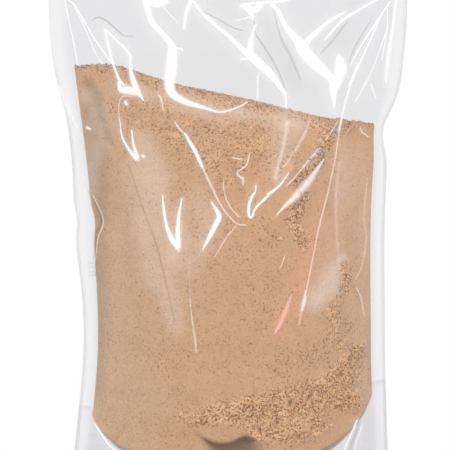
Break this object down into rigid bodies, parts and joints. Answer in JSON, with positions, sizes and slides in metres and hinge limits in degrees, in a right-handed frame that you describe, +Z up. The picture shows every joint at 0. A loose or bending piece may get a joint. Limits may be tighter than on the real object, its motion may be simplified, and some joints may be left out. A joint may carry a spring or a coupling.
{
  "type": "bag of zeolite",
  "caption": "Clear heat-sealed stand-up pouch, creased at its empty top and filled with tan zeolite powder, standing on its folded base.",
  "frame": {"origin": "on the floor, under the middle of the bag", "axes": "+Z up the bag, -Y out of the front panel, +X to the right as seen from the front"},
  "size_m": [0.1982, 0.0758, 0.285],
  "materials": {
    "front_film": "clear, glossy, creased",
    "back_film": "clear, glossy, creased",
    "gusset_film": "clear, glossy",
    "powder": "dry powder, matte"
  },
  "bodies": {
    "root": {"front_panel": "front_film", "back_panel": "back_film", "bottom_gusset": "gusset_film", "zeolite_powder": "powder"}
  },
  "joints": []
}
